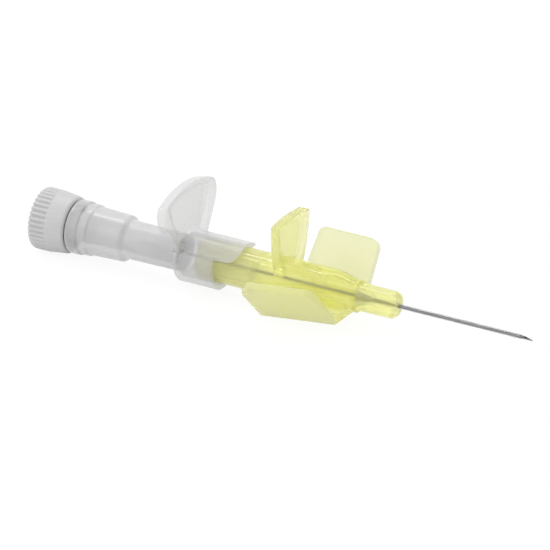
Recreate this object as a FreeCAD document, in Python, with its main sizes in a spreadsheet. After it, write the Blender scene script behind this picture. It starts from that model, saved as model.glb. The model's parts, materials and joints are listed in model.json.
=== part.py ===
import FreeCAD, Part
import math
import os
import re
import Sketcher

# Winged intravenous cannula, 24 gauge, with its needle in place and its rear end capped.
# Millimetres. The origin is on the needle's axis, where the catheter tube leaves the nose of its hub.
# +X points along the needle to its tip, +Z points up to the two finger tabs, and +Y is the left wing's side.

doc = FreeCAD.newDocument("Cannula")

# Driving sizes: name, value, meaning
SIZES = (
    ("tube_radius", 0.35, "outside radius of the catheter tube"),
    ("tube_wall", 0.10, "wall of the catheter tube"),
    ("tube_reach", 18.8, "nose of the hub to the free end of the tube"),
    ("tube_thin_length", 1.0, "length of the thinned end of the tube"),
    ("tube_tip_radius", 0.28, "outside radius at the free end"),
    ("tube_flare_start", 3.4, "depth in the nose where the tube starts to flare"),
    ("tube_flare_end", 5.2, "depth in the nose where the flare ends"),
    ("tube_flare_radius", 0.75, "outside radius of the flared end"),
    ("seat_gap", 0.02, "gap round pieces that are bonded or wedged in place"),
    ("ferrule_start", 3.7, "depth in the nose where the steel ferrule starts"),
    ("ferrule_end", 6.3, "depth in the nose where the ferrule ends"),
    ("ferrule_wall", 0.09, "wall of the ferrule at its rear"),
    ("needle_radius", 0.225, "outside radius of the steel needle"),
    ("needle_wall", 0.075, "wall of the needle"),
    ("needle_gap", 0.025, "running gap between needle and ferrule"),
    ("needle_tip_lead", 1.8, "needle tip ahead of the end of the tube"),
    ("bevel_length", 1.7, "length of the ground bevel"),
    ("needle_stub", 2.7, "rear end of the needle behind the grip's spigot"),
    ("nose_radius", 2.0, "radius of the hub's nose, which a protective sheath pushes over"),
    ("nose_round", 0.65, "rounding of the nose's front edge"),
    ("nose_length", 6.0, "front of the nose to the ring"),
    ("ring_radius", 2.28, "radius of the ring behind the nose"),
    ("ring_width", 0.5, "width of that ring"),
    ("cone_front_radius", 2.12, "radius of the cone at its front"),
    ("cone_length", 3.1, "length of the cone"),
    ("hub_radius", 2.9, "outside radius of the hub's body"),
    ("hub_length", 30.4, "front of the nose to the rear mouth of the hub"),
    ("hub_mouth_edge", 0.25, "chamfer of the rear mouth"),
    ("socket_radius", 2.14, "radius of the conical socket at its mouth"),
    ("socket_depth", 9.0, "depth of the conical socket"),
    ("socket_slope", 0.03, "radius lost for each millimetre of depth"),
    ("flow_radius", 1.6, "radius of the flow passage"),
    ("flow_step_depth", 12.8, "depth from the nose of the first inner step"),
    ("flow_neck_radius", 1.3, "radius between the inner steps"),
    ("flow_neck_length", 1.7, "length between the inner steps"),
    ("flow_throat_radius", 1.05, "radius ahead of the second inner step"),
    ("push_tab_place", 17.9, "nose of the hub back to the rear face of the push tab"),
    ("push_tab_thickness", 1.38, "thickness of the push tab"),
    ("push_tab_height", 9.1, "axis to the top of the push tab"),
    ("push_tab_crown", 0.35, "rise of the tab's top edge at its middle"),
    ("push_tab_half_width", 4.3, "half width of the push tab at its top"),
    ("push_tab_half_root", 2.55, "half width of the push tab at the axis"),
    ("push_tab_rim", 0.75, "width of the raised rim on the push tab"),
    ("push_tab_recess", 0.5, "depth of the push tab's recess"),
    ("push_tab_recess_foot", 2.4, "axis to the foot of that recess, inside the barrel"),
    ("wing_root_place", 24.2, "nose of the hub back to the rear of the wing root"),
    ("wing_root_drop", 3.95, "axis down to the wing root's underside at its rear"),
    ("wing_pitch_angle", 3.5, "degrees that the wing plane rises towards the nose"),
    ("wing_root_thickness", 1.2, "thickness of the fixed wing root"),
    ("wing_root_half", 0.3, "half width of the wing root at its rear"),
    ("wing_root_length", 16.8, "length of the wing root"),
    ("hinge_start", 6.0, "rear of the wing root to the start of the fold line"),
    ("hinge_half_rear", 5.8, "axis to the fold line at its rear end"),
    ("hinge_half_front", 4.45, "axis to the fold line at its front end"),
    ("hinge_gap", 0.06, "gap at the fold line on each side"),
    ("hinge_web", 0.05, "thickness left under the fold groove"),
    ("wing_width", 8.8, "fold line to the outer edge of a wing"),
    ("wing_thickness", 0.9, "thickness of a wing"),
    ("wing_rear_slant", -0.1, "how far the rear edge leans in"),
    ("wing_front_slant", 1.1, "how far the front edge leans in"),
    ("wing_corner", 0.8, "rounding of a wing's outer corners"),
    ("wing_left_angle", 50.0, "degrees that the left wing is folded up"),
    ("wing_right_angle", 47.0, "degrees that the right wing is folded up"),
    ("sleeve_gap", 0.25, "gap between the hub and the grip's sleeve"),
    ("sleeve_wall", 0.5, "wall of the sleeve's upper arch"),
    ("trough_wall", 0.7, "wall of the sleeve's lower trough"),
    ("trough_top", 1.5, "axis up to the ledge where arch and trough meet"),
    ("trough_length", 5.45, "grip's rear wall to the trough's front rim"),
    ("arch_overhang", 3.6, "trough's front rim to the arch's front rim"),
    ("arch_cut_rear", 1.55, "axis up to the arch's lower edge at the trough"),
    ("arch_cut_front", 2.3, "axis up to the arch's lower edge at its front"),
    ("arch_slant", 0.5, "how far the arch's front rim leans back at its foot"),
    ("grip_stand_off", 2.25, "mouth of the hub back to the grip's rear wall"),
    ("grip_rear_wall", 0.65, "thickness of the grip's rear wall"),
    ("thumb_thickness", 1.3, "thickness of the thumb tab"),
    ("thumb_half_width", 7.2, "half width of the thumb tab"),
    ("thumb_lean_angle", 6.8, "degrees that the thumb tab leans back"),
    ("thumb_lean_start", 1.85, "axis up to where the lean starts from the rear wall"),
    ("thumb_shoulder", 8.95, "axis up to the tab's upper corners"),
    ("thumb_top", 10.0, "axis up to the top of the tab"),
    ("thumb_waist", 7.2, "axis up to where the sides turn in"),
    ("thumb_foot_half", 3.7, "half width of the tab at its foot"),
    ("thumb_foot", 1.0, "axis up to the foot of the tab"),
    ("thumb_corner", 0.9, "rounding of the tab's outline"),
    ("thumb_side_rim", 2.0, "width of the raised rim at the tab's sides"),
    ("thumb_top_rim", 0.6, "width of the rim along the tab's top"),
    ("thumb_recess", 0.8, "depth of the thumb tab's recess"),
    ("thumb_recess_foot", 2.9, "axis up to the foot of the recess"),
    ("thumb_recess_foot_half", 3.1, "half width of the recess at its foot"),
    ("cone_gap", 0.05, "gap between a conical plug and its socket"),
    ("plug_reach", 8.2, "length of the grip's conical plug inside the hub"),
    ("spigot_radius", 1.8, "radius of the grip's rear spigot"),
    ("spigot_length", 4.4, "length of the rear spigot"),
    ("chamber_waist_radius", 2.68, "chamber's radius between the grip and its shoulder"),
    ("chamber_waist_length", 8.4, "grip back to the chamber's shoulder"),
    ("shoulder_length", 0.5, "length of the sloping shoulder"),
    ("chamber_mid_radius", 3.28, "radius behind the shoulder"),
    ("chamber_mid_end_radius", 3.42, "radius where the rear flare starts"),
    ("chamber_mid_length", 3.4, "shoulder back to the rear flare"),
    ("chamber_flare_length", 3.0, "length of the rear flare"),
    ("flange_start_radius", 3.62, "radius at the start of the flange"),
    ("flange_radius", 3.78, "radius of the rear flange"),
    ("flange_length", 1.8, "length of the rear flange"),
    ("neck_radius", 2.95, "radius of the neck inside the cap"),
    ("neck_length", 3.7, "length of that neck"),
    ("lug_radius", 3.3, "radius over the locking lugs"),
    ("lug_width", 1.0, "length of a lug along the axis"),
    ("lug_half_height", 1.1, "half height of a lug"),
    ("chamber_socket_depth", 7.4, "depth of the chamber's rear socket"),
    ("cap_gap", 0.2, "gap between the flange and the cap"),
    ("cap_front_radius", 3.96, "cap's radius at its front edge"),
    ("cap_length", 5.3, "front edge to the rear face of the cap"),
    ("cap_end_wall", 1.2, "thickness of the cap's end wall"),
    ("cap_lug_gap", 0.2, "gap between the lugs and the collar"),
    ("rib_band", 2.4, "length of the ribbed band"),
    ("rib_radius", 4.34, "radius over the ribs"),
    ("rib_depth", 0.24, "depth of the grooves between the ribs"),
    ("rib_count", 36, "number of grooves"),
    ("rib_groove_mouth", 0.42, "half width of a groove, well outside the ribs"),
    ("rib_groove_floor", 0.12, "half width of a groove at its floor"),
    ("cap_plug_length", 6.6, "length of the cap's conical plug"),
    ("vent_radius", 0.45, "radius of the vent hole in the cap"),
    ("filter_radius", 1.1, "radius of the porous filter"),
    ("filter_length", 1.6, "length of the porous filter"),
    ("filter_set_back", 0.5, "plug's end to the filter's front face"),
)

sheet = doc.addObject("Spreadsheet::Sheet", "Sizes")
for row, (alias, size, meaning) in enumerate(SIZES, start=1):
    sheet.set(f"A{row}", meaning)
    sheet.set(f"B{row}", str(size))
    sheet.setAlias(f"B{row}", alias)
doc.recompute()

# Places along the axis and sizes that follow from the driving ones
DERIVED = {
    "tip_x": "tube_reach + needle_tip_lead",
    "tube_bore": "tube_radius - tube_wall",
    "flare_length": "tube_flare_end - tube_flare_start",
    "flare_slope": "(tube_flare_radius - tube_wall - tube_bore) / flare_length",
    "nose_slope": "(tube_flare_radius - tube_radius) / flare_length",
    "ferrule_bore": "needle_radius + needle_gap",
    "ferrule_front_radius": "tube_bore + flare_slope * (ferrule_start - tube_flare_start) - seat_gap",
    "ferrule_rear_radius": "tube_bore + flare_slope * (ferrule_end - tube_flare_start) - seat_gap",
    "nose_bore": "tube_radius + seat_gap",
    "nose_bore_flared": "nose_bore + nose_slope * (ferrule_end - tube_flare_start)",
    "ring_rear": "nose_length + ring_width",
    "cone_rear": "ring_rear + cone_length",
    "flow_neck_end": "flow_step_depth - flow_neck_length",
    "socket_floor": "hub_length - socket_depth",
    "socket_floor_radius": "socket_radius - socket_slope * socket_depth",
    "push_tab_front": "push_tab_place - push_tab_thickness",
    "push_tab_lean": "(push_tab_half_width - push_tab_half_root) / push_tab_height",
    "push_tab_inner_top": "push_tab_height - push_tab_rim",
    "push_tab_inner_half": "push_tab_half_root + push_tab_lean * push_tab_inner_top - push_tab_rim",
    "push_tab_floor_half": "push_tab_half_root + push_tab_lean * push_tab_recess_foot - push_tab_rim",
    "hinge_run": "wing_root_length - hinge_start",
    "hinge_converge": "atan((hinge_half_rear - hinge_half_front) / hinge_run)",
    "hinge_length": "hinge_run / cos(hinge_converge)",
    "sleeve_bore": "hub_radius + sleeve_gap",
    "arch_radius": "sleeve_bore + sleeve_wall",
    "trough_radius": "sleeve_bore + trough_wall",
    "grip_wall_front": "hub_length + grip_stand_off",
    "grip_rear_place": "grip_wall_front + grip_rear_wall",
    "trough_front": "grip_wall_front - trough_length",
    "arch_front": "trough_front - arch_overhang",
    "thumb_place": "grip_rear_place - thumb_lean_start * tan(thumb_lean_angle)",
    "grip_plug_tip": "hub_length - plug_reach",
    "grip_plug_tip_radius": "socket_radius - cone_gap - socket_slope * plug_reach",
    "grip_plug_root_radius": "socket_radius - cone_gap + socket_slope * (grip_wall_front - hub_length)",
    "spigot_end": "grip_rear_place + spigot_length",
    "needle_rear": "spigot_end + needle_stub",
    "chamber_front": "grip_rear_place + seat_gap",
    "chamber_bore": "spigot_radius + seat_gap",
    "chamber_shoulder": "grip_rear_place + chamber_waist_length",
    "shoulder_end": "chamber_shoulder + shoulder_length",
    "chamber_flare_start": "shoulder_end + chamber_mid_length",
    "flange_start": "chamber_flare_start + chamber_flare_length",
    "flange_end": "flange_start + flange_length",
    "neck_end": "flange_end + neck_length",
    "chamber_socket_floor": "neck_end - chamber_socket_depth",
    "chamber_socket_floor_radius": "socket_radius - socket_slope * chamber_socket_depth",
    "cap_front": "flange_end + cap_gap",
    "cap_rear": "cap_front + cap_length",
    "cap_floor": "cap_rear - cap_end_wall",
    "cap_bore": "lug_radius + cap_lug_gap",
    "rib_front": "cap_rear - rib_band",
    "cap_plug_tip": "cap_floor - cap_plug_length",
    "cap_plug_root_radius": "socket_radius - cone_gap + socket_slope * (cap_floor - neck_end)",
    "cap_plug_tip_radius": "cap_plug_root_radius - socket_slope * cap_plug_length",
    "filter_front": "cap_plug_tip + filter_set_back",
    "filter_rear": "filter_front + filter_length",
    "filter_bore": "filter_radius + seat_gap",
}

# How far the middle of a quarter arc lies inside its corner, as a share of the radius
CORNER_MID = 1 - math.sqrt(0.5)

NAMES = {alias for alias, size, meaning in SIZES}


def formula(text):
    """Write a formula in size names as one that reads the spreadsheet."""

    def spell_out(match):
        word = match.group(0)
        if word in DERIVED:
            return "(" + formula(DERIVED[word]) + ")"
        if word in NAMES:
            return "Sizes." + word
        return word

    return re.sub(r"[a-z_]\w*", spell_out, str(text))


def value(text):
    """The present value of a formula, as a number."""
    return float(sheet.evalExpression(formula(text)))


def bind(thing, **sizes):
    """Tie properties of an object to formulas."""
    for name, text in sizes.items():
        thing.setExpression(name, formula(text))


def new_body(label):
    body = doc.addObject("PartDesign::Body", label)
    body.Label = label
    return body


def new_sketch(body, name, role, shift="0"):
    """A sketch on one of the body's origin planes, moved along the plane's normal."""
    sketch = body.newObject("Sketcher::SketchObject", name)
    plane = next(item for item in body.Origin.OriginFeatures if item.Role == role)
    sketch.AttachmentSupport = [(plane, "")]
    sketch.MapMode = "FlatFace"
    sketch.setExpression("AttachmentOffset.Base.z", formula(shift))
    return sketch


def pin_point(sketch, curve, end, across, up):
    """Hold one end of a curve at a place given by two formulas."""
    for kind, text in (("DistanceX", across), ("DistanceY", up)):
        index = sketch.addConstraint(Sketcher.Constraint(kind, -1, 1, curve, end, value(text)))
        sketch.setExpression(f"Constraints[{index}]", formula(text))


def draw_outline(sketch, corners):
    """Draw a closed outline. A corner is (across, up), or (across, up, via_across, via_up) before an arc."""
    points = [FreeCAD.Vector(value(corner[0]), value(corner[1]), 0) for corner in corners]
    starts = []
    first = sketch.GeometryCount
    for index, corner in enumerate(corners):
        start = points[index]
        end = points[(index + 1) % len(points)]
        if len(corner) == 2:
            sketch.addGeometry(Part.LineSegment(start, end))
            starts.append(1)
            continue
        via = FreeCAD.Vector(value(corner[2]), value(corner[3]), 0)
        sketch.addGeometry(Part.Arc(start, via, end))
        starts.append(1 if (via - start).cross(end - via).z > 0 else 2)
    for index, corner in enumerate(corners):
        following = (index + 1) % len(corners)
        pin_point(sketch, first + index, starts[index], corner[0], corner[1])
        sketch.addConstraint(
            Sketcher.Constraint(
                "Coincident", first + index, 3 - starts[index], first + following, starts[following]
            )
        )
        if len(corner) == 4:
            via = sketch.addGeometry(Part.Point(FreeCAD.Vector(value(corner[2]), value(corner[3]), 0)), True)
            pin_point(sketch, via, 1, corner[2], corner[3])
            sketch.addConstraint(Sketcher.Constraint("PointOnObject", via, 1, first + index))


def turned(body, kind, name, corners):
    """Revolve or groove an outline of (place along the axis, radius) round the axis."""
    sketch = new_sketch(body, name + "_outline", "XZ_Plane")
    draw_outline(sketch, corners)
    feature = body.newObject("PartDesign::" + kind, name)
    feature.Profile = sketch
    feature.ReferenceAxis = (sketch, ["H_Axis"])
    feature.Angle = 360
    doc.recompute()
    return feature


def add_or_cut(body, kind, name, sketch, length, backwards=False, both_ways=False):
    """Pad or pocket a sketch, and check that the body's volume changed."""
    before = body.Shape.Volume if body.Tip else 0
    feature = body.newObject("PartDesign::" + kind, name)
    feature.Profile = sketch
    feature.Reversed = backwards
    feature.Midplane = both_ways
    bind(feature, Length=length)
    doc.recompute()
    if abs(body.Shape.Volume - before) < 1e-6:
        raise RuntimeError(name + " changed nothing")
    return feature


def pad(body, name, sketch, length, **options):
    return add_or_cut(body, "Pad", name, sketch, length, **options)


def pocket(body, name, sketch, depth, **options):
    return add_or_cut(body, "Pocket", name, sketch, depth, **options)


def dress(body, kind, name, size, chosen):
    """Fillet or chamfer the edges of the body that a test picks."""
    base = body.Tip
    edges = [f"Edge{number}" for number, edge in enumerate(base.Shape.Edges, start=1) if chosen(edge)]
    if not edges:
        raise RuntimeError(name + " found no edge")
    feature = body.newObject("PartDesign::" + kind, name)
    feature.Base = (base, edges)
    bind(feature, **{"Radius" if kind == "Fillet" else "Size": size})
    doc.recompute()
    return feature


def mirrored_outline(half):
    """Close a half outline, given from the bottom to the top on the +across side, with its mirror image."""
    other = []
    for index in range(len(half) - 1, -1, -1):
        across, up = half[index][:2]
        corner = (f"-({across})", up)
        if index > 0 and len(half[index - 1]) == 4:
            via_across, via_up = half[index - 1][2:]
            corner += (f"-({via_across})", via_up)
        other.append(corner)
    return list(half) + other


def make_catheter_tube():
    body = new_body("catheter_tube")
    turned(body, "Revolution", "tube", [
        ("tube_reach", "tube_bore"),
        ("tube_reach", "tube_tip_radius"),
        ("tube_reach - tube_thin_length", "tube_radius"),
        ("-tube_flare_start", "tube_radius"),
        ("-tube_flare_end", "tube_flare_radius"),
        ("-tube_flare_end", "tube_flare_radius - tube_wall"),
        ("-tube_flare_start", "tube_bore"),
    ])
    return body


def make_tube_ferrule():
    """The steel funnel that wedges the flared end of the tube in the nose."""
    body = new_body("tube_ferrule")
    turned(body, "Revolution", "funnel", [
        ("-ferrule_start", "ferrule_bore"),
        ("-ferrule_start", "ferrule_front_radius"),
        ("-ferrule_end", "ferrule_rear_radius"),
        ("-ferrule_end", "ferrule_rear_radius - ferrule_wall"),
    ])
    return body


def make_needle():
    body = new_body("needle")
    turned(body, "Revolution", "shaft", [
        ("tip_x", "needle_radius - needle_wall"),
        ("tip_x", "needle_radius"),
        ("-needle_rear", "needle_radius"),
        ("-needle_rear", "needle_radius - needle_wall"),
    ])
    bevel = new_sketch(body, "bevel_outline", "XZ_Plane")
    draw_outline(bevel, [
        ("tip_x - bevel_length", "needle_radius"),
        ("tip_x", "-needle_radius"),
        ("tip_x + needle_radius", "-needle_radius"),
        ("tip_x + needle_radius", "2 * needle_radius"),
        ("tip_x - bevel_length", "2 * needle_radius"),
    ])
    pocket(body, "bevel", bevel, "4 * needle_radius", both_ways=True)
    return body


def add_push_tab(body):
    """The upright plate that a finger pushes to slide the hub off the needle."""
    plate = new_sketch(body, "push_tab_outline", "YZ_Plane", "-push_tab_place")
    draw_outline(plate, mirrored_outline([
        ("push_tab_half_root", "0"),
        ("push_tab_half_width", "push_tab_height", "0", "push_tab_height + push_tab_crown"),
    ]))
    pad(body, "push_tab", plate, "push_tab_thickness")
    hollow = new_sketch(body, "push_tab_hollow_outline", "YZ_Plane", "-push_tab_front")
    draw_outline(hollow, mirrored_outline([
        ("push_tab_floor_half", "push_tab_recess_foot"),
        ("push_tab_inner_half", "push_tab_inner_top", "0", "push_tab_inner_top + push_tab_crown"),
    ]))
    pocket(body, "push_tab_hollow", hollow, "push_tab_recess")


def add_wing_roots(body):
    """The fixed plate under the hub that carries both wings, with a bevelled groove along each fold."""
    plane = new_sketch(body, "wing_root_outline", "XY_Plane", "-wing_root_drop")
    plane.AttachmentOffset = FreeCAD.Placement(
        FreeCAD.Vector(0, 0, 0), FreeCAD.Rotation(FreeCAD.Vector(0, -1, 0), value("wing_pitch_angle"))
    )
    bind(plane, **{
        "AttachmentOffset.Base.x": "-wing_root_place",
        "AttachmentOffset.Base.z": "-wing_root_drop",
        "AttachmentOffset.Rotation.Angle": "wing_pitch_angle",
    })
    draw_outline(plane, [
        ("0", "-wing_root_half"),
        ("hinge_start", "-(hinge_half_rear - hinge_gap)"),
        ("wing_root_length", "-(hinge_half_front - hinge_gap)"),
        ("wing_root_length", "hinge_half_front - hinge_gap"),
        ("hinge_start", "hinge_half_rear - hinge_gap"),
        ("0", "wing_root_half"),
    ])
    pad(body, "wing_root", plane, "wing_root_thickness")
    outer = value("hinge_half_front - 2 * hinge_gap")

    def on_fold_line(edge):
        return min(abs(vertex.Y) for vertex in edge.Vertexes) > outer and edge.Length > value("hinge_run / 2")

    folds = [edge.CenterOfMass.z for edge in body.Tip.Shape.Edges if on_fold_line(edge)]
    middle = sum(folds) / len(folds)
    dress(body, "Chamfer", "fold_groove", "wing_root_thickness - hinge_web",
          lambda edge: on_fold_line(edge) and edge.CenterOfMass.z > middle)


def make_catheter_hub():
    """The yellow hub: nose, ring, cone, barrel, push tab and wing roots in one moulding."""
    body = new_body("catheter_hub")
    add_wing_roots(body)
    add_push_tab(body)
    turned(body, "Revolution", "barrel", [
        ("0", "0"),
        ("0", "nose_radius - nose_round",
         f"-{CORNER_MID} * nose_round", f"nose_radius - {CORNER_MID} * nose_round"),
        ("-nose_round", "nose_radius"),
        ("-nose_length", "nose_radius"),
        ("-nose_length", "ring_radius"),
        ("-ring_rear", "ring_radius"),
        ("-ring_rear", "cone_front_radius"),
        ("-cone_rear", "hub_radius"),
        ("-(hub_length - hub_mouth_edge)", "hub_radius"),
        ("-hub_length", "hub_radius - hub_mouth_edge"),
        ("-hub_length", "0"),
    ])
    turned(body, "Groove", "passage", [
        ("0", "0"),
        ("0", "nose_bore"),
        ("-tube_flare_start", "nose_bore"),
        ("-ferrule_end", "nose_bore_flared"),
        ("-flow_neck_end", "flow_throat_radius"),
        ("-flow_neck_end", "flow_neck_radius"),
        ("-flow_step_depth", "flow_neck_radius"),
        ("-flow_step_depth", "flow_radius"),
        ("-socket_floor", "flow_radius"),
        ("-socket_floor", "socket_floor_radius"),
        ("-hub_length", "socket_radius"),
        ("-hub_length", "0"),
    ])
    return body


def make_wing(label, side):
    """One thin wing, drawn flat beside its fold line and then folded up. Side is +1 on the left."""
    body = new_body(label)
    flat = new_sketch(body, label + "_outline", "XY_Plane")
    draw_outline(flat, [
        ("0", f"{side} * hinge_gap"),
        ("wing_rear_slant", f"{side} * wing_width"),
        ("hinge_length - wing_front_slant", f"{side} * wing_width"),
        ("hinge_length", f"{side} * hinge_gap"),
    ])
    pad(body, label + "_sheet", flat, "wing_thickness")
    reach = value("wing_width")
    top = value("wing_thickness")
    dress(body, "Fillet", label + "_corners", "wing_corner",
          lambda edge: min(abs(vertex.Y) for vertex in edge.Vertexes) > reach - 1e-3
          and abs(edge.Length - top) < 1e-3 and abs(edge.Vertexes[0].X - edge.Vertexes[1].X) < 1e-6)
    dress(body, "Chamfer", label + "_fold_bevel", "wing_thickness - hinge_web",
          lambda edge: max(abs(vertex.Y) for vertex in edge.Vertexes) < value("2 * hinge_gap")
          and min(vertex.Z for vertex in edge.Vertexes) > top - 1e-3)
    pitch = FreeCAD.Rotation(FreeCAD.Vector(0, -1, 0), value("wing_pitch_angle"))
    converge = FreeCAD.Rotation(FreeCAD.Vector(0, 0, 1), -side * value("hinge_converge"))
    fold = FreeCAD.Rotation(FreeCAD.Vector(1, 0, 0), side * value(label + "_angle"))
    root = FreeCAD.Vector(-value("wing_root_place"), 0, -value("wing_root_drop"))
    start = pitch.multVec(FreeCAD.Vector(value("hinge_start"), side * value("hinge_half_rear"), 0))
    body.Placement = FreeCAD.Placement(root + start, pitch * converge * fold)
    return body


def add_sleeve(body):
    """The half sleeve over the hub: a trough below, and a longer thin arch above."""
    for name, radius, way, reach in (
        ("trough", "trough_radius", "-", "trough_front"),
        ("arch", "arch_radius", "", "arch_front"),
    ):
        side = f"sqrt({radius} * {radius} - trough_top * trough_top)"
        bore_side = "sqrt(sleeve_bore * sleeve_bore - trough_top * trough_top)"
        section = new_sketch(body, name + "_outline", "YZ_Plane", "-grip_wall_front")
        draw_outline(section, [
            (f"-{side}", "trough_top", "0", f"{way}{radius}"),
            (side, "trough_top"),
            (bore_side, "trough_top", "0", f"{way}sleeve_bore"),
            (f"-{bore_side}", "trough_top"),
        ])
        pad(body, name, section, f"grip_wall_front - {reach}")
    slope = new_sketch(body, "arch_cut_outline", "XZ_Plane")
    draw_outline(slope, [
        ("-trough_front", "0"),
        ("-trough_front", "arch_cut_rear"),
        ("-arch_front - arch_slant", "arch_cut_front"),
        ("-arch_front", "arch_radius"),
        ("-arch_front + sleeve_wall", "arch_radius"),
        ("-arch_front + sleeve_wall", "0"),
    ])
    pocket(body, "arch_cut", slope, "4 * trough_radius", both_ways=True)


def lean_back(sketch, lift):
    """Turn a thumb tab's sketch so that its top leans back, and lift it off the tab's rear face."""
    sketch.AttachmentOffset = FreeCAD.Placement(
        FreeCAD.Vector(0, 0, 0), FreeCAD.Rotation(FreeCAD.Vector(-1, 0, 0), value("thumb_lean_angle"))
    )
    bind(sketch, **{
        "AttachmentOffset.Base.y": f"{lift} * sin(thumb_lean_angle)",
        "AttachmentOffset.Base.z": f"{lift} * cos(thumb_lean_angle) - thumb_place",
        "AttachmentOffset.Rotation.Angle": "thumb_lean_angle",
    })


def add_thumb_tab(body):
    """The shield-shaped tab at the rear of the grip, leaning back and hollowed on its front face."""
    plate = new_sketch(body, "thumb_tab_outline", "YZ_Plane")
    lean_back(plate, "0")
    draw_outline(plate, mirrored_outline([
        ("thumb_foot_half", "thumb_foot"),
        ("thumb_half_width", "thumb_waist"),
        ("thumb_half_width", "thumb_shoulder - thumb_corner",
         f"thumb_half_width - {CORNER_MID} * thumb_corner", f"thumb_shoulder - {CORNER_MID} * thumb_corner"),
        ("thumb_half_width - thumb_corner", "thumb_shoulder", "0", "thumb_top"),
    ]))
    pad(body, "thumb_tab", plate, "thumb_thickness")
    hollow = new_sketch(body, "thumb_hollow_outline", "YZ_Plane")
    lean_back(hollow, "thumb_thickness")
    draw_outline(hollow, mirrored_outline([
        ("thumb_recess_foot_half", "thumb_recess_foot"),
        ("thumb_half_width - thumb_side_rim", "thumb_waist"),
        ("thumb_half_width - thumb_side_rim", "thumb_shoulder - thumb_top_rim", "0", "thumb_top - thumb_top_rim"),
    ]))
    pocket(body, "thumb_hollow", hollow, "thumb_recess")


def make_needle_grip():
    """The clear grip: conical plug that holds the needle, rear wall, sleeve and thumb tab."""
    body = new_body("needle_grip")
    add_thumb_tab(body)
    turned(body, "Revolution", "core", [
        ("-grip_plug_tip", "needle_radius + seat_gap"),
        ("-grip_plug_tip", "grip_plug_tip_radius"),
        ("-grip_wall_front", "grip_plug_root_radius"),
        ("-grip_wall_front", "trough_radius"),
        ("-grip_rear_place", "trough_radius"),
        ("-grip_rear_place", "spigot_radius"),
        ("-spigot_end", "spigot_radius"),
        ("-spigot_end", "needle_radius + seat_gap"),
    ])
    add_sleeve(body)
    return body


def make_flash_chamber():
    """The clear chamber behind the grip, where blood shows, with a locking socket at its rear."""
    body = new_body("flash_chamber")
    turned(body, "Revolution", "shell", [
        ("-chamber_front", "chamber_bore"),
        ("-chamber_front", "chamber_waist_radius"),
        ("-chamber_shoulder", "chamber_waist_radius"),
        ("-shoulder_end", "chamber_mid_radius"),
        ("-chamber_flare_start", "chamber_mid_end_radius"),
        ("-flange_start", "flange_start_radius"),
        ("-flange_start", "flange_radius"),
        ("-flange_end", "flange_radius"),
        ("-flange_end", "neck_radius"),
        ("-neck_end", "neck_radius"),
        ("-neck_end", "socket_radius"),
        ("-chamber_socket_floor", "chamber_socket_floor_radius"),
        ("-chamber_socket_floor", "chamber_bore"),
    ])
    lugs = new_sketch(body, "lug_outline", "YZ_Plane", "-neck_end")
    for side in (1, -1):
        rim = f"{side} * sqrt(lug_radius * lug_radius - lug_half_height * lug_half_height)"
        draw_outline(lugs, [
            (rim, "-lug_half_height", f"{side} * lug_radius", "0"),
            (rim, "lug_half_height"),
            (f"{side} * (socket_radius + neck_radius) / 2", "lug_half_height"),
            (f"{side} * (socket_radius + neck_radius) / 2", "-lug_half_height"),
        ])
    pad(body, "lugs", lugs, "lug_width")
    return body


def make_vent_filter():
    body = new_body("vent_filter")
    turned(body, "Revolution", "plug", [
        ("-filter_front", "0"),
        ("-filter_front", "filter_radius"),
        ("-filter_rear", "filter_radius"),
        ("-filter_rear", "0"),
    ])
    return body


def make_luer_cap():
    """The white cap: ribbed collar round the chamber's neck, and a hollow conical plug in its socket."""
    body = new_body("luer_cap")
    turned(body, "Revolution", "cap", [
        ("-cap_front", "cap_bore"),
        ("-cap_front", "cap_front_radius"),
        ("-rib_front", "rib_radius"),
        ("-cap_rear", "rib_radius"),
        ("-cap_rear", "vent_radius"),
        ("-filter_rear", "vent_radius"),
        ("-filter_rear", "filter_bore"),
        ("-cap_plug_tip", "filter_bore"),
        ("-cap_plug_tip", "cap_plug_tip_radius"),
        ("-cap_floor", "cap_plug_root_radius"),
        ("-cap_floor", "cap_bore"),
    ])
    groove = new_sketch(body, "rib_groove_outline", "YZ_Plane", "-cap_rear")
    draw_outline(groove, [
        ("rib_groove_floor", "rib_radius - rib_depth"),
        ("rib_groove_mouth", "rib_radius + rib_depth"),
        ("-rib_groove_mouth", "rib_radius + rib_depth"),
        ("-rib_groove_floor", "rib_radius - rib_depth"),
    ])
    cut = pocket(body, "rib_groove", groove, "rib_band", backwards=True)
    pattern = body.newObject("PartDesign::PolarPattern", "rib_grooves")
    pattern.Originals = [cut]
    pattern.Axis = (next(item for item in body.Origin.OriginFeatures if item.Role == "X_Axis"), [""])
    pattern.Angle = 360
    bind(pattern, Occurrences="rib_count")
    body.Tip = pattern
    return body


def main():
    parts = [
        make_catheter_hub(),
        make_catheter_tube(),
        make_tube_ferrule(),
        make_wing("wing_left", 1),
        make_wing("wing_right", -1),
        make_needle(),
        make_needle_grip(),
        make_flash_chamber(),
        make_vent_filter(),
        make_luer_cap(),
    ]
    doc.recompute()
    for item in doc.Objects:
        if "Invalid" in item.State or "Error" in item.State:
            raise RuntimeError(item.Name + " failed: " + str(item.State))
    for part in parts:
        if part.Shape.isNull() or not part.Shape.isValid():
            raise RuntimeError(part.Label + " has no sound shape")
    os.makedirs("parts", exist_ok=True)
    for part in parts:
        part.Shape.exportStep(f"parts/{part.Label}.step")
        print(part.Label, len(part.Shape.Solids), "solid,", round(part.Shape.Volume, 3), "mm3")


main()
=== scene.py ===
# %% [markdown]
# # A winged intravenous cannula
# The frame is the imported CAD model: every node has its real size and place, in metres. The origin lies
# on the needle's axis where the thin tube leaves the hub's nose, +X points to the needle's tip and +Z
# points up. This script dresses that frame: it models the visible mouldings again with smooth, rounded
# meshes, and gives each one its plastic or steel. Lengths below are written in millimetres and turned
# to metres by MM.

# %% The frame and its box
import bmesh
import bpy
import json
import math
from mathutils import Matrix, Vector


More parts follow.
